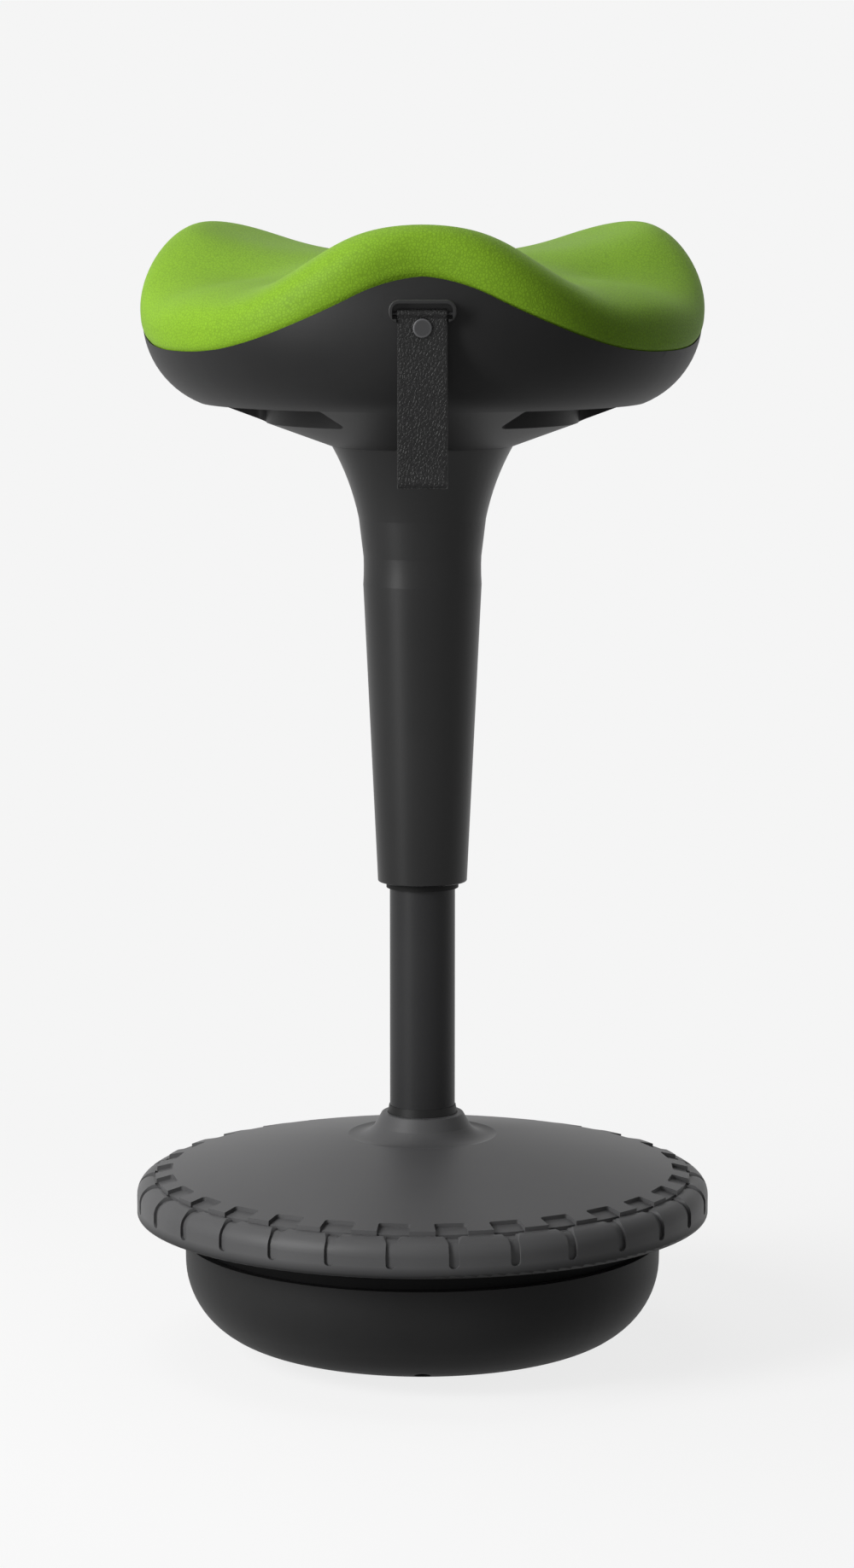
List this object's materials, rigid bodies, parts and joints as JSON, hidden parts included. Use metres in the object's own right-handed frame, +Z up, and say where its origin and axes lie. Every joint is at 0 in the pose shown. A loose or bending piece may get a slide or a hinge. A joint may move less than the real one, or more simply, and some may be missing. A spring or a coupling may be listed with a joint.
{
  "type": "wobble stool",
  "caption": "Height-adjustable wobble stool: green saddle-waved cushion in a black shell, tapered column sleeve, treaded round base on a rounded weighted foot.",
  "frame": {"origin": "middle of the small flat on the underside of the foot, on the column's axis", "axes": "+Z up the column, +Y towards the back with the release paddle, -Y towards the strap, +X to the sitter's right as seen from the front"},
  "size_m": [0.37, 0.37, 0.7292],
  "materials": {
    "foot_plastic": "matte black moulded polypropylene",
    "sole_rubber": "matt black grippy rubber",
    "cover_plastic": "fine satin grain on charcoal moulded plastic",
    "cast_iron": "bare sand-cast grey iron",
    "painted_steel": "satin black powder coat",
    "zinc_steel": "bright zinc plate",
    "brass": "turned brass",
    "bearing_plastic": "off-white acetal",
    "bearing_steel": "ground bearing steel",
    "rod_chrome": "hard chrome",
    "stop_rubber": "black rubber",
    "piston_alloy": "turned alloy",
    "sleeve_plastic": "satin black moulded plastic",
    "shell_plastic": "satin black moulded plastic",
    "frame_plastic": "satin black moulded plastic",
    "board_plywood": "birch plywood",
    "cushion_cover": "bright green coated upholstery fabric with a fine leather grain",
    "strap_leather": "black grained strap",
    "rivet_enamel": "dark grey enamel"
  },
  "bodies": {
    "base": {"foot_bowl": "foot_plastic", "foot_sole": "sole_rubber", "threaded_inserts": "brass", "ballast_weight": "cast_iron", "column_hub": "painted_steel", "hub_bolts": "zinc_steel", "base_cover": "cover_plastic", "cover_screws": "zinc_steel", "collar_ring": "cover_plastic", "column_tube": "painted_steel", "guide_bush": "bearing_plastic", "lower_race": "bearing_steel"},
    "rod": {"piston_rod": "rod_chrome", "upper_race": "bearing_steel", "bearing_balls": "bearing_steel", "bearing_cage": "bearing_plastic", "rod_washer": "zinc_steel", "retaining_clip": "zinc_steel", "bump_stop": "stop_rubber", "piston": "piston_alloy", "piston_seal": "stop_rubber", "piston_nut": "zinc_steel"},
    "seat": {"gas_cylinder": "painted_steel", "rod_guide": "bearing_plastic", "valve_body": "piston_alloy", "column_sleeve": "sleeve_plastic", "sleeve_glide": "bearing_plastic", "seat_bracket": "painted_steel", "bracket_bolts": "zinc_steel", "tee_nuts": "zinc_steel", "seat_board": "board_plywood", "lever_pin": "zinc_steel", "seat_shell": "shell_plastic", "shell_screws": "zinc_steel", "seat_cushion": "cushion_cover", "strap_frame": "frame_plastic", "strap_bar": "zinc_steel"},
    "valve": {"valve_pin": "brass"},
    "lever": {"release_lever": "zinc_steel", "lever_paddle": "frame_plastic"},
    "strap": {"handle_strap": "strap_leather", "strap_rivet": "rivet_enamel"}
  },
  "joints": [
    {"name": "seat_swivel", "type": "hinge", "parent": "base", "child": "rod", "pos_m": [0, 0, 0.05], "axis": [0, 0, 1], "continuous": true},
    {"name": "seat_lift", "type": "slide", "parent": "rod", "child": "seat", "axis": [0, 0, 1], "range_m": [-0.138, 0.1]},
    {"name": "lever_pivot", "type": "hinge", "parent": "seat", "child": "lever", "pos_m": [0, 0.024, 0.6135], "axis": [1, 0, 0], "range_deg": [0, 3.8], "stiffness_Nm_per_rad": 2, "springref_deg": -2.86},
    {"name": "valve_press", "type": "slide", "parent": "seat", "child": "valve", "axis": [0, 0, -1], "range_m": [0, 0.0016]},
    {"name": "strap_swing", "type": "hinge", "parent": "seat", "child": "strap", "pos_m": [0, -0.17985, 0.6766], "axis": [-1, 0, 0], "range_deg": [0, 110]}
  ],
  "couplings": [
    {"joint": "valve_press", "follows": "lever_pivot", "m_per_rad": 0.024}
  ]
}
